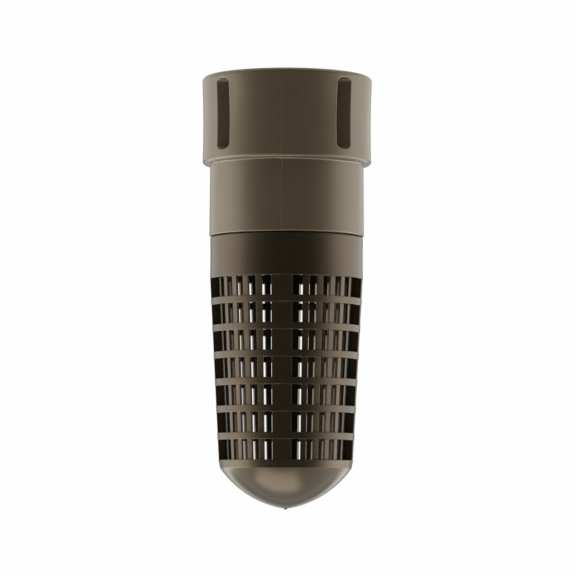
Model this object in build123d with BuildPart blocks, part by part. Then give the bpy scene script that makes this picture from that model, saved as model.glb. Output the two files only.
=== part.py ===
from build123d import *
import os
from math import acos, asin, cos, pi, radians, sin, sqrt, tan

# Foot valve for the lower end of a suction pipe: a spring-loaded poppet above a strainer.
# Millimetres, +Z up. The origin is the centre of the threaded mouth, and the valve hangs below it.

# ----- Driving dimensions ---------------------------------------------------------------------

# Pipe thread in the collar, G 2
thread_major_radius = 29.807
thread_pitch = 2.309
thread_depth = 1.479
thread_flank_angle = 27.5  # half of the 55 degree thread angle
thread_length = 21.0
entry_cone_step = 1.5  # from the thread's crest out to the cone's mouth
entry_cone_height = 1.0
thread_overrun = 0.6  # turns that the cutter runs out past the mouth
relief_step = 0.3  # how far the run-out groove goes beyond the thread's root

# Collar
collar_wall = 7.87  # from the thread's root to the outside, at the mouth
collar_height = 38.8
collar_draft = 0.3  # how much the radius falls from the mouth to the foot
collar_hollow = 0.4  # the collar is slightly waisted
mouth_rounding = 1.9
collar_foot_rounding = 1.4
pipe_ledge = 3.3  # how far the inner flange stands in from the thread's crest
flange_thickness = 3.6

# Grip pockets, sunk sideways into the collar
pocket_width = 5.0
pocket_top_margin = 3.2  # left of the collar above a pocket
pocket_foot_margin = 4.6
pocket_angle = 43.0  # from the X axis to the middle of a pocket
pocket_floor_wall = 2.4  # left between a pocket and the thread's root
pocket_corner = 2.0
pocket_edge_rounding = 0.5

# Neck
socket_depth = 10.35  # from the neck's foot up to the end of the strainer's socket
socket_step = 1.9  # the strainer's socket is this much wider than the thread's root
seat_pocket_step = 1.1  # from the strainer's socket in to the seat ring's pocket
seat_shoulder = 1.0  # from the seat ring's pocket in to the valve chamber
neck_wall = 2.27  # round the strainer's socket, at the top of the neck
neck_flare = 0.22
neck_foot_rounding = 0.6
neck_root_rounding = 0.8
socket_lead_in = 0.6

# Fits
press_gap = 0.02  # pieces that are pressed or clamped together
slip_gap = 0.1  # pieces that are dropped in by hand
running_gap = 0.05  # radial play of the stem in its bushes

# Pipe gasket
gasket_thickness = 2.5
gasket_inner_step = 0.6  # its bore stands clear of the flange's bore

# Spider, upper guide
spider_rim_width = 2.6
spider_rim_height = 4.0
spider_arm_count = 4
spider_first_arm = 45.0  # degrees from +X
spider_bore_gap = 0.5  # between the arms and the flange's bore
spider_arm_thickness = 3.0
spider_arm_height = 4.5
hub_wall = 2.9
hub_height = 10.0
hub_drop = 0.2  # the spider's top stays this much below the ledge

# Bushes
bush_wall = 1.5
bush_flange_width = 1.4
bush_flange_thickness = 1.0
lower_hub_height = 8.0
lower_hub_wall = 1.8

# Stem
stem_radius = 3.0
tip_step = 0.5  # the lower tip is this much thinner
stem_end_chamfer = 0.6
shoulder_flats = 9.0
shoulder_height = 2.5
stem_top_drop = 0.5  # the closed stem's top is this much below the hub's top
tip_reach = 5.5  # the closed tip stands out this much below the lower hub

# Spring and its two seats
spring_wire = 1.2
spring_hub_gap = 3.4
spring_active_turns = 3
spring_end_turns = 1
spring_points_per_turn = 16
sheet_thickness = 0.6
cup_lip_height = 2.0
cup_lip_gap = 0.5

# Seat ring
seat_radius = 19.0
seat_thickness = 4.6
lip_height = 1.2
lip_crest = 1.0
lip_flank = 0.9
throat_skirt_height = 4.0
throat_skirt_wall = 2.4
seat_arm_count = 3
seat_first_arm = 90.0  # degrees from +X
seat_arm_thickness = 2.5
seat_arm_height = 5.5

# O-ring
o_ring_width = 1.65
o_ring_height = 2.1
o_ring_corner = 0.66
o_ring_side_gap = 0.1

# Poppet
valve_lift = 9.0
disc_thickness = 3.2
seal_thickness = 2.5
seal_overlap = 3.3  # how far the seal reaches beyond the seat's bore
disc_skirt_wall = 1.4
disc_skirt_depth = 2.0
disc_rib_count = 6
disc_rib_thickness = 1.5
disc_rib_height = 1.6
cup_fence_wall = 1.6
retainer_thickness = 2.0
retainer_gap = 1.6  # between the retainer and the seat's bore
retainer_chamfer = 0.8

# Washer and locking nut, M6
washer_radius = 6.0
washer_thickness = 1.6
nut_flats = 10.0
nut_hex_height = 4.0
nut_collar_height = 2.0
nut_collar_radius = 4.7
nut_insert_radius = 4.1
nut_insert_height = 1.5
nut_gap = 1.0  # between the closed poppet's nut and the lower bush

# Internal retaining ring
circlip_thickness = 1.5
circlip_groove_depth = 1.3
circlip_groove_gap = 0.1
circlip_width_share = 0.327  # of the room between its outside and the seat ring's skirt
circlip_ear_share = 0.23  # the ears' radius, as a share of the same room
circlip_inset_share = 0.115  # how far the ears' middles stand in from the ring, likewise
circlip_opening = 26.0  # degrees
circlip_hole_radius = 1.0
pocket_below_circlip = 1.0

# Strainer
band_height = 18.85
band_step = 0.4  # how far the band stands in from the neck's foot
band_edge = 0.4
band_hollow = 0.12  # the band is slightly waisted
shoulder_gap = 0.35  # between the neck's foot and the band
spigot_gap_above = 0.3
spigot_wall = 1.7
bead_height = 2.4
bead_crest = 0.8
bead_reach = 0.6
bead_groove_gap = 0.15
bead_drop = 4.0  # from the spigot's top to the bead's middle
cage_wall = 4.4
cage_taper = 2.97  # degrees per side
window_rows = 7
window_height = 8.85
top_window_height = 8.7
ring_height = 3.0
slat_recess = 3.2  # from the rings' face to the slats' face
slot_overlap = 0.1  # the upright slots reach this far into the windows
rib_recess = 0.12  # from the rings' face to the ribs' face, and the rings' edge rounding
rib_half_angle = 7.9
slats_per_quarter = 5
slat_angle = 5.2
slat_pitch = 12.5  # degrees from one slat to the next
rim_height = 3.5
rim_fall = 0.7
rim_corner = 0.5
dome_height = 17.8
dome_start_angle = 35.0  # the dome's slope at the rim, from vertical
dome_wall = 3.0
gate_radius = 1.0
gate_tip_radius = 0.5
gate_height = 0.35

# ----- Levels and radii that follow -----------------------------------------------------------

thread_minor_radius = thread_major_radius - thread_depth
collar_radius = thread_major_radius + collar_wall
collar_foot_radius = collar_radius - collar_draft
collar_middle_radius = (collar_radius + collar_foot_radius) / 2 - collar_hollow
relief_radius = thread_major_radius + relief_step
flange_bore_radius = thread_minor_radius - pipe_ledge
socket_radius = thread_major_radius + socket_step
seat_pocket_radius = socket_radius - seat_pocket_step
chamber_radius = seat_pocket_radius - seat_shoulder
neck_radius = socket_radius + neck_wall
neck_foot_radius = neck_radius + neck_flare

relief_height = gasket_thickness + slip_gap
ledge_z = -(thread_length + relief_height)
flange_z = ledge_z - flange_thickness

hub_top_z = ledge_z - hub_drop
hub_foot_z = hub_top_z - hub_height
bush_bore_radius = stem_radius + running_gap
bush_radius = bush_bore_radius + bush_wall
hub_radius = bush_radius + hub_wall
spring_seat_z = hub_top_z - spider_arm_height
stop_z = hub_foot_z - bush_flange_thickness
tip_radius = stem_radius - tip_step

shoulder_top_z = stop_z - valve_lift
disc_top_z = shoulder_top_z - shoulder_height
disc_foot_z = disc_top_z - disc_thickness
seal_foot_z = disc_foot_z - seal_thickness
retainer_foot_z = seal_foot_z - retainer_thickness
washer_foot_z = retainer_foot_z - washer_thickness
nut_foot_z = washer_foot_z - nut_hex_height - nut_collar_height

seat_top_z = seal_foot_z - lip_height
seat_foot_z = seat_top_z - seat_thickness
seat_ring_radius = seat_pocket_radius - slip_gap
socket_top_z = seat_foot_z - circlip_thickness - circlip_groove_gap - pocket_below_circlip
neck_foot_z = socket_top_z - socket_depth
tip_bush_bore_radius = tip_radius + running_gap
tip_bush_radius = tip_bush_bore_radius + bush_wall
lower_hub_radius = tip_bush_radius + lower_hub_wall
lower_hub_top_z = nut_foot_z - nut_gap - bush_flange_thickness
lower_hub_foot_z = lower_hub_top_z - lower_hub_height
stem_top_z = hub_top_z - stem_top_drop
tip_z = lower_hub_foot_z - tip_reach

spring_radius = hub_radius + spring_hub_gap + spring_wire / 2
cup_bore_radius = shoulder_flats / sqrt(3) + slip_gap
cup_lip_radius = spring_radius + spring_wire / 2 + cup_lip_gap
cup_radius = cup_lip_radius + sheet_thickness
spring_top_z = spring_seat_z - sheet_thickness
spring_foot_z = disc_top_z + sheet_thickness
seal_radius = seat_radius + seal_overlap
disc_bore_radius = stem_radius + press_gap

band_top_z = neck_foot_z - shoulder_gap
band_radius = neck_foot_radius - band_step
band_foot_z = neck_foot_z - band_height
cage_height = top_window_height + (window_rows - 1) * (window_height + ring_height)
cage_foot_z = band_foot_z - cage_height
cage_foot_radius = band_radius - cage_height * tan(radians(cage_taper))
rim_foot_z = cage_foot_z - rim_height
rim_foot_radius = cage_foot_radius - rim_fall
point_z = rim_foot_z - dome_height
spigot_radius = socket_radius - slip_gap
spigot_top_z = socket_top_z - spigot_gap_above
bead_z = spigot_top_z - bead_drop


def radial_plane(angle):
    """The upright plane through the axis at an angle from +X, with its Y along +Z."""
    along = (cos(radians(angle)), sin(radians(angle)), 0)
    across = (sin(radians(angle)), -cos(radians(angle)), 0)
    return Plane((0, 0, 0), x_dir=along, z_dir=across)


def corner(r, z):
    """The vertex of the sketch in hand that is nearest to this radius and level."""
    return vertices().sort_by_distance((r, z))[0]


def cage_radius(z):
    """The rings' outer radius at a level of the cage."""
    return band_radius - (band_foot_z - z) * tan(radians(cage_taper))


# ----- Valve body: collar and neck in one moulding --------------------------------------------

circlip_groove_radius = seat_pocket_radius + circlip_groove_depth
circlip_groove_height = circlip_thickness + circlip_groove_gap
bead_groove_radius = spigot_radius + bead_reach + bead_groove_gap
thread_land = thread_pitch / 6  # width of the flat that stands for the rounded crest
groove_half_width = (thread_pitch - thread_land) / 2
tool_overlap = 0.25  # the thread tool starts this far inside the crest
flank_slope = tan(radians(thread_flank_angle))
thread_start_z = -thread_length - relief_height / 2
full_turns = int(thread_length / thread_pitch) - 1
mouth_turns = -thread_start_z / thread_pitch - full_turns + thread_overrun
pocket_height = collar_height - pocket_top_margin - pocket_foot_margin
pocket_middle_z = -pocket_top_margin - pocket_height / 2
pocket_y = collar_radius * sin(radians(pocket_angle))
pocket_floor_radius = thread_major_radius + pocket_floor_wall
pocket_floor_x = sqrt(pocket_floor_radius**2 - (pocket_y - pocket_width / 2) ** 2)

with BuildPart() as valve_body:
    with BuildSketch(Plane.XZ):
        with BuildLine():
            ThreePointArc(
                (collar_radius, 0),
                (collar_middle_radius, -collar_height / 2),
                (collar_foot_radius, -collar_height),
            )
            Polyline(
                (collar_foot_radius, -collar_height),
                (neck_radius, -collar_height),
                (neck_foot_radius, neck_foot_z),
                (socket_radius + socket_lead_in, neck_foot_z),
                (socket_radius, neck_foot_z + socket_lead_in),
                (socket_radius, socket_top_z),
                (seat_pocket_radius, socket_top_z),
                (seat_pocket_radius, seat_top_z),
                (chamber_radius, seat_top_z),
                (chamber_radius, flange_z),
                (flange_bore_radius, flange_z),
                (flange_bore_radius, ledge_z),
                (relief_radius, ledge_z),
                (relief_radius, -thread_length),
                (thread_minor_radius, -thread_length),
                (thread_minor_radius, -entry_cone_height),
                (thread_minor_radius + entry_cone_step, 0),
                (collar_radius, 0),
            )
        make_face()
        fillet(corner(collar_radius, 0), mouth_rounding)
        fillet(corner(collar_foot_radius, -collar_height), collar_foot_rounding)
        fillet(corner(neck_radius, -collar_height), neck_root_rounding)
        fillet(corner(neck_foot_radius, neck_foot_z), neck_foot_rounding)
    revolve(axis=Axis.Z)
    # Grooves for the retaining ring and for the strainer's snap bead
    with BuildSketch(Plane.XZ):
        with Locations((seat_pocket_radius, seat_foot_z - circlip_groove_height / 2)):
            Rectangle(2 * circlip_groove_depth, circlip_groove_height)
        with Locations((socket_radius, bead_z)):
            Rectangle(2 * (bead_groove_radius - socket_radius), bead_height + 2 * bead_groove_gap)
    revolve(axis=Axis.Z, mode=Mode.SUBTRACT)
    # Grip pockets: each is sunk along X, as the mould's side cores draw it
    for side in (-1, 1):
        with BuildSketch(Plane.YZ.offset(side * pocket_floor_x)):
            with Locations((-pocket_y, pocket_middle_z), (pocket_y, pocket_middle_z)):
                RectangleRounded(pocket_width, pocket_height, pocket_corner)
        extrude(amount=side * collar_radius, mode=Mode.SUBTRACT)
    pocket_mouths = (
        valve_body.faces()
        .filter_by(lambda face: len(face.inner_wires()) >= 2)
        .sort_by(lambda face: face.area)[-1]
        .inner_wires()
    )
    fillet([edge for wire in pocket_mouths for edge in wire.edges()], pocket_edge_rounding)
    # Internal thread, cut in two passes: the full turns, then the turns that run out at the mouth
    for first_turn, turns in ((0, full_turns), (full_turns, mouth_turns)):
        with BuildLine():
            thread_path = Helix(
                pitch=thread_pitch,
                height=turns * thread_pitch,
                radius=thread_minor_radius,
                center=(0, 0, thread_start_z + first_turn * thread_pitch),
            )
        with BuildSketch(Plane(thread_path @ 0, x_dir=(1, 0, 0), z_dir=thread_path % 0)):
            with BuildLine():
                Polyline(
                    (-tool_overlap, groove_half_width + tool_overlap * flank_slope),
                    (thread_depth, groove_half_width - thread_depth * flank_slope),
                    (thread_depth, -groove_half_width + thread_depth * flank_slope),
                    (-tool_overlap, -groove_half_width - tool_overlap * flank_slope),
                    close=True,
                )
            make_face()
        sweep(path=thread_path, is_frenet=True, mode=Mode.SUBTRACT)

# ----- Pipe gasket ----------------------------------------------------------------------------

with BuildPart() as pipe_gasket:
    with BuildSketch(Plane.XY.offset(ledge_z)):
        Circle(relief_radius - relief_step)
        Circle(flange_bore_radius + gasket_inner_step, mode=Mode.SUBTRACT)
    extrude(amount=gasket_thickness)

# ----- Guide spider ---------------------------------------------------------------------------

rim_radius = chamber_radius - slip_gap
rim_inner_radius = rim_radius - spider_rim_width
arm_reach = flange_bore_radius - spider_bore_gap
arm_foot_radius = cup_radius + 2 * sheet_thickness
rim_overlap = spider_rim_width / 2

with BuildPart() as guide_spider:
    with BuildSketch(Plane.XY.offset(flange_z)):
        Circle(rim_radius)
        Circle(rim_inner_radius, mode=Mode.SUBTRACT)
    extrude(amount=-spider_rim_height)
    with BuildSketch(Plane.XY.offset(hub_top_z)):
        Circle(hub_radius)
    extrude(amount=-hub_height)
    for index in range(spider_arm_count):
        with BuildSketch(radial_plane(spider_first_arm + index * 360 / spider_arm_count)):
            with BuildLine():
                Polyline(
                    (0, hub_top_z),
                    (arm_reach, hub_top_z),
                    (arm_reach, flange_z),
                    (rim_inner_radius + rim_overlap, flange_z),
                    (rim_inner_radius + rim_overlap, flange_z - spider_rim_height),
                    (rim_inner_radius - rim_overlap, flange_z - spider_rim_height),
                    (arm_foot_radius, spring_seat_z),
                    (0, spring_seat_z),
                    close=True,
                )
            make_face()
        extrude(amount=spider_arm_thickness / 2, both=True)
    with Locations((0, 0, hub_top_z)):
        Hole(bush_radius + press_gap)

# ----- Upper bush: its flange is also the stop for the opening poppet -------------------------

with BuildPart() as upper_bush:
    with BuildSketch(Plane.XY.offset(hub_top_z)):
        Circle(bush_radius)
    extrude(amount=-hub_height)
    with BuildSketch(Plane.XY.offset(hub_foot_z)):
        Circle(bush_radius + bush_flange_width)
    extrude(amount=-bush_flange_thickness)
    with Locations((0, 0, hub_top_z)):
        Hole(bush_bore_radius)

# ----- Spring washer --------------------------------------------------------------------------

with BuildPart() as spring_washer:
    with BuildSketch(Plane.XY.offset(spring_seat_z)):
        Circle(cup_radius)
        Circle(hub_radius + slip_gap, mode=Mode.SUBTRACT)
    extrude(amount=-sheet_thickness)

# ----- Spring: closed and ground ends ---------------------------------------------------------

spring_length = spring_top_z - spring_foot_z
end_inset = spring_wire / 4  # the ground end leaves three quarters of the wire
end_rise = spring_end_turns * spring_wire
active_pitch = (spring_length - 2 * end_inset - 2 * end_rise) / spring_active_turns
spring_turns = spring_active_turns + 2 * spring_end_turns


def spring_level(turn):
    """The wire's level after a number of turns: closed at both ends and open between."""
    closed_below = min(turn, spring_end_turns)
    opened = min(max(turn - spring_end_turns, 0), spring_active_turns)
    closed_above = max(turn - spring_end_turns - spring_active_turns, 0)
    rise = closed_below * spring_wire + opened * active_pitch + closed_above * spring_wire
    return spring_foot_z + end_inset + rise


spring_points = []
for step in range(spring_turns * spring_points_per_turn + 1):
    turn = step / spring_points_per_turn
    spring_points.append(
        (spring_radius * cos(2 * pi * turn), spring_radius * sin(2 * pi * turn), spring_level(turn))
    )

with BuildPart() as valve_spring:
    with BuildLine():
        spring_path = Spline(*spring_points)
    with BuildSketch(Plane(spring_path @ 0, x_dir=(1, 0, 0), z_dir=spring_path % 0)):
        Circle(spring_wire / 2)
    sweep(path=spring_path, is_frenet=True)
    with Locations((0, 0, (spring_foot_z + spring_top_z) / 2)):
        Cylinder(spring_radius + spring_wire, spring_length, mode=Mode.INTERSECT)

# ----- Seat ring with lip, throat and lower guide ---------------------------------------------

o_ring_z = seat_top_z - seat_thickness / 2
o_ring_groove_radius = seat_pocket_radius - press_gap - o_ring_width - press_gap
skirt_radius = seat_radius + throat_skirt_wall
skirt_foot_z = seat_foot_z - throat_skirt_height
arm_root_radius = seat_radius + throat_skirt_wall / 2

with BuildPart() as seat_ring:
    with BuildSketch(Plane.XZ):
        with BuildLine():
            Polyline(
                (seat_radius, seat_top_z),
                (seat_radius + lip_flank, seal_foot_z),
                (seat_radius + lip_flank + lip_crest, seal_foot_z),
                (seat_radius + 2 * lip_flank + lip_crest, seat_top_z),
                (seat_ring_radius, seat_top_z),
                (seat_ring_radius, seat_foot_z),
                (skirt_radius, seat_foot_z),
                (skirt_radius, skirt_foot_z),
                (seat_radius, skirt_foot_z),
                close=True,
            )
        make_face()
    revolve(axis=Axis.Z)
    with BuildSketch(Plane.XZ):
        with Locations((seat_ring_radius, o_ring_z)):
            Rectangle(2 * (seat_ring_radius - o_ring_groove_radius), o_ring_height + 2 * o_ring_side_gap)
    revolve(axis=Axis.Z, mode=Mode.SUBTRACT)
    with BuildSketch(Plane.XY.offset(lower_hub_top_z)):
        Circle(lower_hub_radius)
    extrude(amount=-lower_hub_height)
    for index in range(seat_arm_count):
        with BuildSketch(radial_plane(seat_first_arm + index * 360 / seat_arm_count)):
            with BuildLine():
                Polyline(
                    (0, lower_hub_top_z - bush_flange_thickness),
                    (lower_hub_radius, lower_hub_top_z - bush_flange_thickness),
                    (seat_radius, skirt_foot_z + seat_arm_height / 2),
                    (arm_root_radius, skirt_foot_z + seat_arm_height / 2),
                    (arm_root_radius, skirt_foot_z),
                    (lower_hub_radius, lower_hub_top_z - seat_arm_height),
                    (0, lower_hub_top_z - seat_arm_height),
                    close=True,
                )
            make_face()
        extrude(amount=seat_arm_thickness / 2, both=True)
    with Locations((0, 0, lower_hub_top_z)):
        Hole(tip_bush_radius + press_gap)

# ----- O-ring round the seat ring -------------------------------------------------------------

with BuildPart() as seat_o_ring:
    with BuildSketch(Plane.XZ):
        with Locations((o_ring_groove_radius + press_gap + o_ring_width / 2, o_ring_z)):
            RectangleRounded(o_ring_width, o_ring_height, o_ring_corner)
    revolve(axis=Axis.Z)

# ----- Lower bush -----------------------------------------------------------------------------

with BuildPart() as lower_bush:
    with BuildSketch(Plane.XY.offset(lower_hub_top_z)):
        Circle(tip_bush_radius)
    extrude(amount=-lower_hub_height)
    with BuildSketch(Plane.XY.offset(lower_hub_top_z)):
        Circle(tip_bush_radius + bush_flange_width)
    extrude(amount=bush_flange_thickness)
    with Locations((0, 0, lower_hub_top_z + bush_flange_thickness)):
        Hole(tip_bush_bore_radius)

# ----- Retaining ring under the seat ring -----------------------------------------------------

circlip_radius = circlip_groove_radius - slip_gap
circlip_room = circlip_radius - skirt_radius
circlip_inner_radius = circlip_radius - circlip_room * circlip_width_share
circlip_ear_radius = circlip_room * circlip_ear_share
ear_middle_radius = circlip_inner_radius - circlip_room * circlip_inset_share
ear_angle = radians(circlip_opening / 2) + asin(circlip_ear_radius / ear_middle_radius)
ear_middles = [
    (ear_middle_radius * cos(ear_angle), side * ear_middle_radius * sin(ear_angle)) for side in (-1, 1)
]
opening_slope = tan(radians(circlip_opening / 2))

with BuildPart() as seat_circlip:
    with BuildSketch(Plane.XY.offset(seat_foot_z)):
        Circle(circlip_radius)
        Circle(circlip_inner_radius, mode=Mode.SUBTRACT)
        with BuildLine():
            Polyline(
                (0, 0),
                (2 * circlip_radius, 2 * circlip_radius * opening_slope),
                (2 * circlip_radius, -2 * circlip_radius * opening_slope),
                close=True,
            )
        make_face(mode=Mode.SUBTRACT)
        with Locations(*ear_middles):
            Circle(circlip_ear_radius)
            Circle(circlip_hole_radius, mode=Mode.SUBTRACT)
    extrude(amount=-circlip_thickness)

# ----- Spring cup on the disc -----------------------------------------------------------------

with BuildPart() as spring_cup:
    with BuildSketch(Plane.XY.offset(disc_top_z)):
        Circle(cup_radius)
        Circle(cup_bore_radius, mode=Mode.SUBTRACT)
    extrude(amount=sheet_thickness)
    with BuildSketch(Plane.XY.offset(disc_top_z)):
        Circle(cup_radius)
        Circle(cup_lip_radius, mode=Mode.SUBTRACT)
    extrude(amount=cup_lip_height)

# ----- Poppet stem ----------------------------------------------------------------------------

with BuildPart() as poppet_stem:
    with BuildSketch(Plane.XZ):
        with BuildLine():
            Polyline(
                (0, stem_top_z),
                (stem_radius - stem_end_chamfer, stem_top_z),
                (stem_radius, stem_top_z - stem_end_chamfer),
                (stem_radius, nut_foot_z),
                (tip_radius, nut_foot_z - (stem_radius - tip_radius)),
                (tip_radius, tip_z + stem_end_chamfer),
                (tip_radius - stem_end_chamfer, tip_z),
                (0, tip_z),
                close=True,
            )
        make_face()
    revolve(axis=Axis.Z)
    with BuildSketch(Plane.XY.offset(disc_top_z)):
        RegularPolygon(shoulder_flats / 2, 6, major_radius=False)
    extrude(amount=shoulder_height)

# ----- Poppet disc ----------------------------------------------------------------------------

fence_inner_radius = cup_radius + slip_gap
fence_radius = fence_inner_radius + cup_fence_wall
skirt_inner_radius = seal_radius + slip_gap
disc_radius = skirt_inner_radius + disc_skirt_wall

with BuildPart() as poppet_disc:
    with BuildSketch(Plane.XZ):
        with BuildLine():
            Polyline(
                (disc_bore_radius, disc_top_z),
                (fence_inner_radius, disc_top_z),
                (fence_inner_radius, disc_top_z + disc_rib_height),
                (fence_radius, disc_top_z + disc_rib_height),
                (fence_radius, disc_top_z),
                (disc_radius - disc_skirt_wall / 2, disc_top_z),
                (disc_radius, disc_top_z - disc_skirt_wall / 2),
                (disc_radius, disc_foot_z - disc_skirt_depth),
                (skirt_inner_radius, disc_foot_z - disc_skirt_depth),
                (skirt_inner_radius, disc_foot_z),
                (disc_bore_radius, disc_foot_z),
                close=True,
            )
        make_face()
    revolve(axis=Axis.Z)
    for index in range(disc_rib_count):
        with BuildSketch(radial_plane(index * 360 / disc_rib_count)):
            with BuildLine():
                Polyline(
                    (fence_radius - cup_fence_wall / 2, disc_top_z - disc_skirt_wall),
                    (fence_radius - cup_fence_wall / 2, disc_top_z + disc_rib_height),
                    (fence_radius, disc_top_z + disc_rib_height),
                    (disc_radius - disc_skirt_wall, disc_top_z),
                    (disc_radius - disc_skirt_wall, disc_top_z - disc_skirt_wall),
                    close=True,
                )
            make_face()
        extrude(amount=disc_rib_thickness / 2, both=True)

# ----- Rubber seal, retainer and washer -------------------------------------------------------

with BuildPart() as disc_seal:
    with BuildSketch(Plane.XY.offset(disc_foot_z)):
        Circle(seal_radius)
        Circle(disc_bore_radius, mode=Mode.SUBTRACT)
    extrude(amount=-seal_thickness)

with BuildPart() as seal_retainer:
    with BuildSketch(Plane.XY.offset(seal_foot_z)):
        Circle(seat_radius - retainer_gap)
        Circle(disc_bore_radius, mode=Mode.SUBTRACT)
    extrude(amount=-retainer_thickness)
    foot_edges = seal_retainer.edges().group_by(Axis.Z)[0]
    chamfer(foot_edges.sort_by(lambda edge: edge.radius)[-1], retainer_chamfer)

with BuildPart() as stem_washer:
    with BuildSketch(Plane.XY.offset(retainer_foot_z)):
        Circle(washer_radius)
        Circle(disc_bore_radius, mode=Mode.SUBTRACT)
    extrude(amount=-washer_thickness)

# ----- Locking nut and its nylon insert -------------------------------------------------------

insert_top_z = nut_foot_z + (nut_collar_height + nut_insert_height) / 2

with BuildPart() as lock_nut:
    with BuildSketch(Plane.XY.offset(washer_foot_z)):
        RegularPolygon(nut_flats / 2, 6, major_radius=False)
    extrude(amount=-nut_hex_height)
    with BuildSketch(Plane.XY.offset(washer_foot_z - nut_hex_height)):
        Circle(nut_collar_radius)
    extrude(amount=-nut_collar_height)
    with Locations((0, 0, washer_foot_z)):
        Hole(disc_bore_radius)
    with BuildSketch(Plane.XY.offset(insert_top_z)):
        Circle(nut_insert_radius + press_gap)
    extrude(amount=-nut_insert_height, mode=Mode.SUBTRACT)

with BuildPart() as nut_insert:
    with BuildSketch(Plane.XY.offset(insert_top_z)):
        Circle(nut_insert_radius)
        Circle(disc_bore_radius, mode=Mode.SUBTRACT)
    extrude(amount=-nut_insert_height)

# ----- Strainer basket ------------------------------------------------------------------------

# The dome is an arc from the rim, sloping dome_start_angle there, to the point on the axis.
chord = sqrt(rim_foot_radius**2 + dome_height**2)
chord_angle = acos(dome_height / chord)
start_angle = radians(dome_start_angle)
dome_radius = chord / (2 * sin(chord_angle - start_angle))
dome_center_r = rim_foot_radius - dome_radius * cos(start_angle)
dome_center_z = rim_foot_z + dome_radius * sin(start_angle)
dome_middle = (
    dome_center_r + dome_radius * cos(chord_angle),
    dome_center_z - dome_radius * sin(chord_angle),
)


def dome_inside_z(r):
    """The level of the dome's inner face at a radius."""
    return dome_center_z - sqrt((dome_radius - dome_wall) ** 2 - (r - dome_center_r) ** 2)


floor_radius = cage_foot_radius - cage_wall
ring_depth = slat_recess - slot_overlap
first_ring_foot_z = band_foot_z - top_window_height - ring_height
window_tops = [band_foot_z]
for row in range(window_rows - 1):
    window_tops.append(first_ring_foot_z - row * (window_height + ring_height))
window_feet = [top + ring_height for top in window_tops[1:]] + [cage_foot_z]

first_slat_angle = 45 - (slats_per_quarter - 1) / 2 * slat_pitch
rib_and_slat_sectors = []
for quarter in range(4):
    rib_and_slat_sectors.append((quarter * 90, rib_half_angle))
    for slat in range(slats_per_quarter):
        slat_middle = quarter * 90 + first_slat_angle + slat * slat_pitch
        rib_and_slat_sectors.append((slat_middle, slat_angle / 2))
wedge_reach = 2 * band_radius
rounding_middle = rib_recess * (1 - sqrt(0.5))  # inset of the middle of a rounded ring edge

# Outer layer: the grooves between the rings, left whole at the four ribs
with BuildPart() as window_cuts:
    with BuildSketch(Plane.XZ):
        for top, foot in zip(window_tops, window_feet):
            with BuildLine():
                Polyline(
                    (cage_radius(top) - slat_recess, top),
                    (neck_foot_radius, top),
                    (neck_foot_radius, foot),
                    (cage_radius(foot) - slat_recess, foot),
                    close=True,
                )
            make_face()
    revolve(axis=Axis.Z)
    with BuildSketch(Plane.XY.offset(cage_foot_z)):
        for quarter in range(4):
            with Locations(Rot(0, 0, quarter * 90)):
                Polygon(
                    (0, 0),
                    (wedge_reach, wedge_reach * tan(radians(rib_half_angle))),
                    (wedge_reach, -wedge_reach * tan(radians(rib_half_angle))),
                    align=None,
                )
    extrude(amount=cage_height, mode=Mode.SUBTRACT)

# Inner layer: the upright slots between the slats, which run behind the rings
with BuildPart() as slot_cuts:
    with BuildSketch(Plane.XZ):
        with BuildLine():
            Polyline(
                (floor_radius - cage_wall, band_foot_z),
                (cage_radius(band_foot_z) - ring_depth, band_foot_z),
                (cage_radius(cage_foot_z) - ring_depth, cage_foot_z),
                (floor_radius - cage_wall, cage_foot_z),
                close=True,
            )
        make_face()
    revolve(axis=Axis.Z)
    with BuildSketch(Plane.XY.offset(cage_foot_z)):
        for middle, half_angle in rib_and_slat_sectors:
            with Locations(Rot(0, 0, middle)):
                Polygon(
                    (0, 0),
                    (wedge_reach, wedge_reach * tan(radians(half_angle))),
                    (wedge_reach, -wedge_reach * tan(radians(half_angle))),
                    align=None,
                )
    extrude(amount=cage_height, mode=Mode.SUBTRACT)

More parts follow.
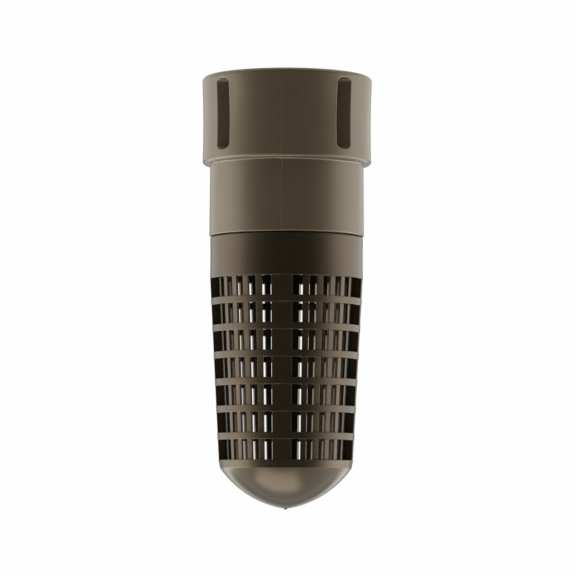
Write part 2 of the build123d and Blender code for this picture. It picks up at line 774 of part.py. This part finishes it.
with BuildPart() as strainer_basket:
    # Full wall, turned: spigot with its snap bead, band, cage, rim and dome
    with BuildSketch(Plane.XZ):
        with BuildLine():
            Polyline(
                (band_radius - cage_wall, band_foot_z),
                (spigot_radius - spigot_wall, spigot_top_z),
                (spigot_radius, spigot_top_z),
                (spigot_radius, bead_z + bead_height / 2),
                (spigot_radius + bead_reach, bead_z + bead_crest / 2),
                (spigot_radius + bead_reach, bead_z - bead_crest / 2),
                (spigot_radius, bead_z - bead_height / 2),
                (spigot_radius, band_top_z),
                (band_radius - band_edge, band_top_z),
                (band_radius, band_top_z - band_edge),
            )
            ThreePointArc(
                (band_radius, band_top_z - band_edge),
                (band_radius - band_hollow, (band_top_z + band_foot_z) / 2),
                (band_radius, band_foot_z + rib_recess),
            )
            for top, foot in zip(window_tops, window_feet):
                upper_edge = (cage_radius(top), top + rib_recess)
                lower_edge = (cage_radius(foot), foot - rib_recess)
                ThreePointArc(
                    upper_edge,
                    (upper_edge[0] - rounding_middle, top + rounding_middle),
                    (upper_edge[0] - rib_recess, top),
                )
                Line((upper_edge[0] - rib_recess, top), (lower_edge[0] - rib_recess, foot))
                ThreePointArc(
                    (lower_edge[0] - rib_recess, foot),
                    (lower_edge[0] - rounding_middle, foot - rounding_middle),
                    lower_edge,
                )
                next_tops = [level for level in window_tops if level < foot]
                if next_tops:
                    Line(lower_edge, (cage_radius(next_tops[0]), next_tops[0] + rib_recess))
            Line((cage_foot_radius, cage_foot_z - rib_recess), (rim_foot_radius, rim_foot_z))
            ThreePointArc((rim_foot_radius, rim_foot_z), dome_middle, (0, point_z))
            Line((0, point_z), (0, dome_inside_z(0)))
            ThreePointArc(
                (0, dome_inside_z(0)),
                (floor_radius / 2, dome_inside_z(floor_radius / 2)),
                (floor_radius, dome_inside_z(floor_radius)),
            )
            Polyline(
                (floor_radius, dome_inside_z(floor_radius)),
                (floor_radius, cage_foot_z),
                (band_radius - cage_wall, band_foot_z),
            )
        make_face()
        fillet(corner(rim_foot_radius, rim_foot_z), rim_corner)
    revolve(axis=Axis.Z)
    # Gate mark left on the point
    with BuildSketch(Plane.XY.offset(point_z - gate_height)):
        Circle(gate_tip_radius)
    with BuildSketch(Plane.XY.offset(point_z + gate_height)):
        Circle(gate_radius)
    loft()
    add(window_cuts.part, mode=Mode.SUBTRACT)
    add(slot_cuts.part, mode=Mode.SUBTRACT)

part_list = [
    ("valve_body", valve_body),
    ("pipe_gasket", pipe_gasket),
    ("guide_spider", guide_spider),
    ("upper_bush", upper_bush),
    ("spring_washer", spring_washer),
    ("valve_spring", valve_spring),
    ("seat_ring", seat_ring),
    ("seat_o_ring", seat_o_ring),
    ("lower_bush", lower_bush),
    ("seat_circlip", seat_circlip),
    ("spring_cup", spring_cup),
    ("poppet_stem", poppet_stem),
    ("poppet_disc", poppet_disc),
    ("disc_seal", disc_seal),
    ("seal_retainer", seal_retainer),
    ("stem_washer", stem_washer),
    ("lock_nut", lock_nut),
    ("nut_insert", nut_insert),
    ("strainer_basket", strainer_basket),
]

os.makedirs("parts", exist_ok=True)
for name, piece in part_list:
    piece.part.label = name
    export_step(piece.part, f"parts/{name}.step")
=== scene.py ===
import math
import bpy
from mathutils import Euler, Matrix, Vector


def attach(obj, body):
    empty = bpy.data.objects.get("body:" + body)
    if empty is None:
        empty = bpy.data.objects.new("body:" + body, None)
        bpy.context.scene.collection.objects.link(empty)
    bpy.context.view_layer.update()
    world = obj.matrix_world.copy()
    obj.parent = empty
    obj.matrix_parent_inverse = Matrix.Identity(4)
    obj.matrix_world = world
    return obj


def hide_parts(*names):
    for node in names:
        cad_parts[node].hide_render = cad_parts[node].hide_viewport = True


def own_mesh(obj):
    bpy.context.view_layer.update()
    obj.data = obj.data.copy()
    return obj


# Foot valve for a suction pipe: a threaded plastic body with a sprung check poppet, and a strainer under it.
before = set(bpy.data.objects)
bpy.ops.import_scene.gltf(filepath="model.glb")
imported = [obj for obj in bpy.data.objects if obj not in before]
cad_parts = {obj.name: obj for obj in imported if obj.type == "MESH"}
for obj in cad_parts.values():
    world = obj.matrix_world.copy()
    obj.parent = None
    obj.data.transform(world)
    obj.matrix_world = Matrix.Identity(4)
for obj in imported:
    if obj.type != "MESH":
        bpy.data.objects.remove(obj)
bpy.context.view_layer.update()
bpy.ops.object.select_all(action="DESELECT")

# ----- Valve body -----------------------------------------------------------------------------
# One moulding in warm grey glass-filled plastic: a threaded collar with four grip pockets, and the
# neck below it. It comes off the tool with a low gloss, a fine orange peel and slow waves where the
# thick wall sank as it cooled.


def node(tree, kind, **values):
    """A shader node of one kind, with its properties or sockets set by name."""
    made = tree.nodes.new(kind)
    for name, value in values.items():
        if hasattr(made, name):
            setattr(made, name, value)
        else:
            made.inputs[name.replace("_", " ")].default_value = value
    return made


def new_material(name, **sockets):
    """A node material, with constants on its Principled shader's sockets: the material, tree and shader."""
    material = bpy.data.materials.new(name)
    material.use_nodes = True
    shader = material.node_tree.nodes["Principled BSDF"]
    for socket, value in sockets.items():
        shader.inputs[socket.replace("_", " ")].default_value = value
    return material, material.node_tree, shader


def mottle(tree, shader, vector, colour, contrast, roughness, spread, scale):
    """Cloudy variation of the colour and of the gloss, by one noise."""
    cloud = node(tree, "ShaderNodeTexNoise", Scale=scale, Detail=3.0, Roughness=0.55)
    tint = node(tree, "ShaderNodeMix", data_type="RGBA")
    share, darker, lighter = (tint.inputs[index] for index in (0, 6, 7))
    darker.default_value = (*[c * (1 - contrast) for c in colour], 1)
    lighter.default_value = (*[c * (1 + contrast) for c in colour], 1)
    gloss = node(tree, "ShaderNodeMapRange")
    gloss.inputs["To Min"].default_value = roughness * (1 - spread)
    gloss.inputs["To Max"].default_value = roughness * (1 + spread)
    tree.links.new(vector, cloud.inputs["Vector"])
    tree.links.new(cloud.outputs["Fac"], share)
    tree.links.new(cloud.outputs["Fac"], gloss.inputs["Value"])
    mixed_colour = tint.outputs[2]
    tree.links.new(mixed_colour, shader.inputs["Base Color"])
    tree.links.new(gloss.outputs["Result"], shader.inputs["Roughness"])


def relief(tree, shader, edge, *layers):
    """Softened edges and layers of relief: each layer is a vector, a noise scale, a detail and a depth."""
    rounded = node(tree, "ShaderNodeBevel", samples=6)
    rounded.inputs["Radius"].default_value = edge
    surface = rounded.outputs["Normal"]
    for vector, scale, detail, depth in layers:
        grain = node(tree, "ShaderNodeTexNoise", Scale=scale, Detail=detail)
        bump = node(tree, "ShaderNodeBump")
        bump.inputs["Distance"].default_value = depth
        tree.links.new(vector, grain.inputs["Vector"])
        tree.links.new(grain.outputs["Fac"], bump.inputs["Height"])
        tree.links.new(surface, bump.inputs["Normal"])
        surface = bump.outputs["Normal"]
    tree.links.new(surface, shader.inputs["Normal"])


def moulded(name, colour, roughness, wave, peel, edge, **sockets):
    """Moulded plastic: mottled colour, uneven gloss, slow sink waves, fine peel and softened edges."""
    wave_scale, wave_detail = 38.0, 1.0
    peel_scale, peel_detail = 2600.0, 2.0
    material, tree, shader = new_material(name, **sockets)
    place = node(tree, "ShaderNodeTexCoord").outputs["Object"]
    mottle(tree, shader, place, colour, contrast=0.10, roughness=roughness, spread=0.12, scale=55.0)
    relief(
        tree, shader, edge, (place, wave_scale, wave_detail, wave), (place, peel_scale, peel_detail, peel)
    )
    return material


def finish_nodes(material, *names):
    """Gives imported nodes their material."""
    for name in names:
        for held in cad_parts[name].material_slots:
            held.material = material


body_grey = moulded(
    "body_grey", (0.088, 0.066, 0.046), roughness=0.24, wave=0.0005, peel=0.000004, edge=0.00025,
    Specular_Tint=(1.0, 0.96, 0.78, 1),
)
finish_nodes(body_grey, "valve_body")

# ----- Parting line ---------------------------------------------------------------------------
# The faint ridge that the two mould halves leave down the body's front and back: a thin strip of the
# body's own outer face, drawn to a crest and sunk into the wall.

ridge_half_width = 0.0003
ridge_rise = 0.00005
ridge_top = -0.008  # below the rounding of the mouth
ridge_thickness = 0.0003
outside_radius = 0.0335  # between the body's inner and outer faces
merge_distance = 0.000001
parting_line = bpy.data.objects.new("parting_line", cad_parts["valve_body"].data.copy())
bpy.context.scene.collection.objects.link(parting_line)
bpy.context.view_layer.objects.active = parting_line
parting_line.select_set(True)
bpy.ops.object.mode_set(mode="EDIT")
bpy.ops.mesh.select_all(action="SELECT")
bpy.ops.mesh.remove_doubles(threshold=merge_distance)
for level, normal in (
    ((ridge_half_width, 0, 0), (1, 0, 0)),
    ((-ridge_half_width, 0, 0), (-1, 0, 0)),
    ((0, 0, ridge_top), (0, 0, 1)),
):
    bpy.ops.mesh.select_all(action="SELECT")
    bpy.ops.mesh.bisect(plane_co=level, plane_no=normal, clear_outer=True)
bpy.ops.mesh.select_all(action="SELECT")
bpy.ops.mesh.bisect(plane_co=(0, 0, 0), plane_no=(1, 0, 0))
bpy.ops.mesh.select_all(action="DESELECT")
bpy.ops.object.mode_set(mode="OBJECT")
for point in parting_line.data.vertices:
    point.select = math.hypot(point.co.x, point.co.y) < outside_radius
bpy.ops.object.mode_set(mode="EDIT")
bpy.ops.mesh.delete(type="VERT")
bpy.ops.object.mode_set(mode="OBJECT")
for point in parting_line.data.vertices:
    point.select = abs(point.co.x) < ridge_half_width / 10
bpy.ops.object.mode_set(mode="EDIT")
bpy.ops.transform.shrink_fatten(value=ridge_rise)
bpy.ops.object.mode_set(mode="OBJECT")
bpy.ops.mesh.customdata_custom_splitnormals_clear()
wall = parting_line.modifiers.new("wall", "SOLIDIFY")
wall.thickness = ridge_thickness
wall.offset = -1.0
bpy.ops.object.modifier_apply(modifier="wall")
bpy.ops.object.shade_smooth_by_angle(angle=math.radians(35))
parting_line.select_set(False)
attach(parting_line, "housing")

# ----- Strainer basket ------------------------------------------------------------------------
# A second moulding, in brown-black plastic: the band, the tapered cage of rings and slats, the rim
# and the pointed end. It snaps into the neck.

strainer_brown = moulded(
    "strainer_brown", (0.0155, 0.0128, 0.0072), roughness=0.25, wave=0.0005, peel=0.000004, edge=0.00042,
    Specular_Tint=(1.0, 0.77, 0.58, 1),
)
finish_nodes(strainer_brown, "strainer_basket")

# ----- Rubber pieces --------------------------------------------------------------------------
# The pipe gasket, the seat ring's O-ring and the poppet's seal: black moulded rubber, matt, with a
# fine grain and a faint grey bloom in patches.

rubber_black, rubber_tree, rubber_shader = new_material("rubber_black", Specular_IOR_Level=0.35)
rubber_place = node(rubber_tree, "ShaderNodeTexCoord").outputs["Object"]
mottle(
    rubber_tree, rubber_shader, rubber_place, (0.020, 0.020, 0.021),
    contrast=0.35, roughness=0.72, spread=0.12, scale=160.0,
)
rubber_grain = (rubber_place, 3200.0, 2.0, 0.00001)
relief(rubber_tree, rubber_shader, 0.0002, rubber_grain)
finish_nodes(rubber_black, "pipe_gasket", "seat_o_ring", "disc_seal")

# ----- Guide spider ---------------------------------------------------------------------------
# The four-armed upper guide is moulded in natural white acetal, a little translucent and waxy. It
# has softer edges than the black mouldings.

acetal_white = moulded(
    "acetal_white", (0.74, 0.72, 0.66), roughness=0.38, wave=0.0001, peel=0.000003, edge=0.0003,
    Subsurface_Weight=0.12, Subsurface_Radius=(1.0, 0.8, 0.6), Subsurface_Scale=0.001,
)
finish_nodes(acetal_white, "guide_spider")

# ----- Seat ring and poppet disc --------------------------------------------------------------
# The two black mouldings that meet at the valve's seat, in satin glass-filled plastic. The disc is a
# touch darker and glossier than the ring.

seat_black = moulded(
    "seat_black", (0.022, 0.022, 0.023), roughness=0.42, wave=0.0002, peel=0.000005, edge=0.0002
)
finish_nodes(seat_black, "seat_ring")
poppet_black = moulded(
    "poppet_black", (0.018, 0.018, 0.020), roughness=0.38, wave=0.0002, peel=0.000004, edge=0.0002
)
finish_nodes(poppet_black, "poppet_disc")

# ----- Bushes ---------------------------------------------------------------------------------
# The two flanged bushes that the stem slides in, turned from cream bearing plastic: their marks run
# round the axis, so the pattern depends only on the radius and the level.


def turned_place(tree):
    """Object coordinates as radius and level, the same all round the valve's axis."""
    place = node(tree, "ShaderNodeTexCoord").outputs["Object"]
    parts = node(tree, "ShaderNodeSeparateXYZ")
    flat = node(tree, "ShaderNodeCombineXYZ")
    length = node(tree, "ShaderNodeVectorMath", operation="LENGTH")
    ring = node(tree, "ShaderNodeCombineXYZ")
    tree.links.new(place, parts.inputs[0])
    tree.links.new(parts.outputs["X"], flat.inputs["X"])
    tree.links.new(parts.outputs["Y"], flat.inputs["Y"])
    tree.links.new(flat.outputs[0], length.inputs[0])
    tree.links.new(length.outputs["Value"], ring.inputs["X"])
    tree.links.new(parts.outputs["Z"], ring.inputs["Z"])
    return place, ring.outputs[0]


bush_cream, bush_tree, bush_shader = new_material("bush_cream")
bush_place, bush_ring = turned_place(bush_tree)
mottle(
    bush_tree, bush_shader, bush_place, (0.56, 0.52, 0.40),
    contrast=0.05, roughness=0.42, spread=0.10, scale=120.0,
)
bush_marks = (bush_ring, 5200.0, 1.0, 0.000006)
relief(bush_tree, bush_shader, 0.00015, bush_marks)
finish_nodes(bush_cream, "upper_bush", "lower_bush")

# ----- Stem, retainer, washer and nut ---------------------------------------------------------
# The poppet's stainless pieces, turned on a lathe: bright metal with fine marks round the axis, and
# edges broken only slightly.


def steel(name, colour, roughness, marks, depth, edge):
    """Stainless steel with tool or drawing marks that run round the axis."""
    material, tree, shader = new_material(name, Metallic=1.0)
    place, ring = turned_place(tree)
    mottle(tree, shader, place, colour, contrast=0.04, roughness=roughness, spread=0.20, scale=260.0)
    fine_scale, fine_detail = 3000.0, 1.0
    relief(tree, shader, edge, (ring, marks, 2.0, depth), (place, fine_scale, fine_detail, depth / 2))
    return material


turned_steel = steel(
    "turned_steel", (0.62, 0.61, 0.59), roughness=0.24, marks=6000.0, depth=0.000004, edge=0.00012
)
finish_nodes(turned_steel, "poppet_stem", "seal_retainer", "stem_washer", "lock_nut")

# ----- Spring cup and spring washer -----------------------------------------------------------
# Pressed from stainless sheet: duller than the turned pieces, with the rolled sheet's grey and edges
# rounded by the press.

pressed_steel = steel(
    "pressed_steel", (0.56, 0.56, 0.55), roughness=0.34, marks=1800.0, depth=0.000003, edge=0.0002
)
finish_nodes(pressed_steel, "spring_cup", "spring_washer")

# ----- Spring and retaining ring --------------------------------------------------------------
# Hard drawn stainless wire and strip, slightly darker than the other steel, with drawing lines along
# it.

spring_steel = steel(
    "spring_steel", (0.50, 0.50, 0.49), roughness=0.30, marks=9000.0, depth=0.000003, edge=0.0001
)
finish_nodes(spring_steel, "valve_spring", "seat_circlip")

# ----- Spring as one piece --------------------------------------------------------------------
# The same coiled wire as one closed piece, which rides with the housing in place of the imported
# spring.

coils = bpy.data.objects.new("coils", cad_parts["valve_spring"].data.copy())
bpy.context.scene.collection.objects.link(coils)
bpy.context.view_layer.objects.active = coils
coils.select_set(True)
bpy.ops.object.mode_set(mode="EDIT")
bpy.ops.mesh.select_all(action="SELECT")
bpy.ops.mesh.remove_doubles(threshold=merge_distance)
bpy.ops.object.mode_set(mode="OBJECT")
bpy.ops.mesh.customdata_custom_splitnormals_clear()
bpy.ops.object.shade_smooth_by_angle(angle=math.radians(40))
coils.select_set(False)
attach(coils, "housing")
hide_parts("valve_spring")
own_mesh(coils)

# ----- Nut insert -----------------------------------------------------------------------------
# The nylon ring that locks the nut, off-white and slightly translucent. It is too small a moulding
# to show sink waves.

nylon_white = moulded(
    "nylon_white", (0.70, 0.71, 0.66), roughness=0.36, wave=0.0, peel=0.000003, edge=0.0001,
    Subsurface_Weight=0.15, Subsurface_Radius=(1.0, 0.9, 0.7), Subsurface_Scale=0.0008,
)
finish_nodes(nylon_white, "nut_insert")

# ----- Studio ---------------------------------------------------------------------------------
# A pale floor well below the hanging valve, two soft lights between them, and a surround that is dark
# on the camera's side, bright at the two sides and white behind.

floor_level = -1.7
floor_radius = 14.0
bpy.ops.mesh.primitive_circle_add(
    vertices=96, radius=floor_radius, fill_type="NGON", location=(0, 0, floor_level)
)
floor = bpy.context.object
floor.name = "floor"
floor_paint, floor_tree, floor_shader = new_material(
    "floor_paint", Base_Color=(0.85, 0.85, 0.84, 1), Roughness=0.8
)
floor.data.materials.append(floor_paint)
floor.visible_glossy = False

world = bpy.data.worlds.new("surround")
bpy.context.scene.world = world
world.use_nodes = True
sky = world.node_tree
sky.nodes.clear()
direction = node(sky, "ShaderNodeTexCoord")
parts = node(sky, "ShaderNodeSeparateXYZ")
sky.links.new(direction.outputs["Generated"], parts.inputs[0])


def light_ramp(value, points):
    """A share of the light that follows a value between -1 and 1."""
    spread = node(sky, "ShaderNodeMapRange")
    spread.inputs["From Min"].default_value = -1.0
    spread.inputs["From Max"].default_value = 1.0
    ramp = node(sky, "ShaderNodeValToRGB")
    stops = ramp.color_ramp.elements
    while len(stops) < len(points):
        stops.new(0.5)
    for stop, (position, share) in zip(stops, points):
        stop.position = position
        stop.color = (share, share, share, 1)
    sky.links.new(value, spread.inputs["Value"])
    sky.links.new(spread.outputs["Result"], ramp.inputs["Fac"])
    return ramp.outputs["Color"]


# From straight down to straight up: how strong the light is, how far it reaches to the front, and how
# much narrower it is
level_light = light_ramp(
    parts.outputs["Z"],
    (
        (0.0, 0.24), (0.10, 0.34), (0.20, 0.70), (0.26, 0.74), (0.32, 1.10), (0.47, 0.71), (0.56, 0.51),
        (0.62, 0.46), (0.75, 0.29), (1.0, 0.24),
    ),
)
reach = light_ramp(
    parts.outputs["Z"],
    (
        (0.0, 0.62), (0.12, 0.68), (0.18, 0.80), (0.23, 0.66), (0.29, 0.42), (0.42, 0.61), (0.47, 0.62),
        (0.51, 0.54), (0.56, 0.46), (1.0, 0.44),
    ),
)
facing_away = node(sky, "ShaderNodeVectorMath", operation="DOT_PRODUCT")
away_from_camera = (-0.096, 0.995, 0.0)
facing_away.inputs[1].default_value = away_from_camera
sky.links.new(direction.outputs["Generated"], facing_away.inputs[0])
narrowing = light_ramp(
    parts.outputs["Z"], ((0.0, 0.0), (0.18, 0.0), (0.23, 0.26), (0.28, 0.26), (0.32, 0.06), (1.0, 0.0))
)
narrowed = node(sky, "ShaderNodeMath", operation="MULTIPLY_ADD")
sky.links.new(facing_away.outputs["Value"], narrowed.inputs[0])
sky.links.new(narrowing, narrowed.inputs[1])
sky.links.new(facing_away.outputs["Value"], narrowed.inputs[2])
reach_away = node(sky, "ShaderNodeMath", operation="ADD")
sky.links.new(narrowed.outputs[0], reach_away.inputs[0])
sky.links.new(reach, reach_away.inputs[1])
unshifted_reach = 0.5
shifted = node(sky, "ShaderNodeMath", operation="SUBTRACT")
shifted.inputs[1].default_value = unshifted_reach
sky.links.new(reach_away.outputs[0], shifted.inputs[0])
# From the camera's side, by way of the two sides, to behind the valve
place_light = light_ramp(
    shifted.outputs[0],
    (
        (0.0, 0.03), (0.10, 0.045), (0.18, 0.15), (0.29, 0.38), (0.37, 0.74), (0.50, 0.95), (0.60, 0.97),
        (0.69, 0.84), (0.78, 0.66), (0.88, 0.49), (0.94, 0.45), (1.0, 0.13),
    ),
)
both = node(sky, "ShaderNodeMath", operation="MULTIPLY")
sky.links.new(place_light, both.inputs[0])
sky.links.new(level_light, both.inputs[1])
strength = node(sky, "ShaderNodeMath", operation="MULTIPLY")
brightest = 6.0
strength.inputs[1].default_value = brightest
sky.links.new(both.outputs[0], strength.inputs[0])
lit = node(sky, "ShaderNodeBackground")
lit.inputs["Color"].default_value = (1.0, 0.965, 0.87, 1)
sky.links.new(strength.outputs[0], lit.inputs["Strength"])
seen = node(sky, "ShaderNodeBackground")
seen.inputs["Color"].default_value = (0.99, 0.99, 0.99, 1)
ray = node(sky, "ShaderNodeLightPath")
blend = node(sky, "ShaderNodeMixShader")
sky.links.new(ray.outputs["Is Camera Ray"], blend.inputs["Fac"])
sky.links.new(lit.outputs[0], blend.inputs[1])
sky.links.new(seen.outputs[0], blend.inputs[2])
out = node(sky, "ShaderNodeOutputWorld")
sky.links.new(blend.outputs[0], out.inputs["Surface"])

# A wide softbox that looks straight up for the end's middle, and a low strip on the left for the
# rounded edges at the collar's and the neck's feet
strip_position = Vector((-0.85, 0.12, -0.66))
strip_aim = Vector((0, 0, -0.1)) - strip_position
for light_name, position, width, depth, power, turn in (
    ("softbox_below", (-0.16, 0.0, -1.1), 0.75, 0.54, 4.5, Euler((math.pi, 0, 0))),
    ("strip_low_left", strip_position, 1.2, 0.1, 3.6, strip_aim.to_track_quat("-Z", "Y").to_euler()),
):
    bpy.ops.object.light_add(type="AREA", location=position)
    soft_light = bpy.context.object
    soft_light.name = light_name
    soft_light.data.shape = "RECTANGLE"
    soft_light.data.size = width
    soft_light.data.size_y = depth
    soft_light.data.energy = power
    soft_light.data.color = (1.0, 0.96, 0.88)
    soft_light.rotation_euler = turn
    soft_light.visible_camera = False

bpy.context.scene.view_settings.view_transform = "Standard"

# ----- Camera ---------------------------------------------------------------------------------
# It stands a little to the right of the front rib and just below the valve's tip, and looks up with
# a long lens.

camera_distance = 1.470
camera_side = math.radians(3.45)
camera_height = -0.193
camera_pitch = math.radians(3.88)
camera_yaw = math.radians(-0.027)
camera_roll = math.radians(0.2)
camera_lens = 208.4
bpy.ops.object.camera_add(
    location=(
        camera_distance * math.sin(camera_side), -camera_distance * math.cos(camera_side), camera_height
    )
)
camera = bpy.context.object
camera.data.lens = camera_lens
camera.data.sensor_width = 36
facing = Euler((math.pi / 2 + camera_pitch, 0, camera_side + camera_yaw), "XYZ").to_matrix()
camera.rotation_euler = (facing @ Euler((0, 0, camera_roll), "XYZ").to_matrix()).to_euler()
camera.data.clip_end = 60
bpy.context.scene.camera = camera
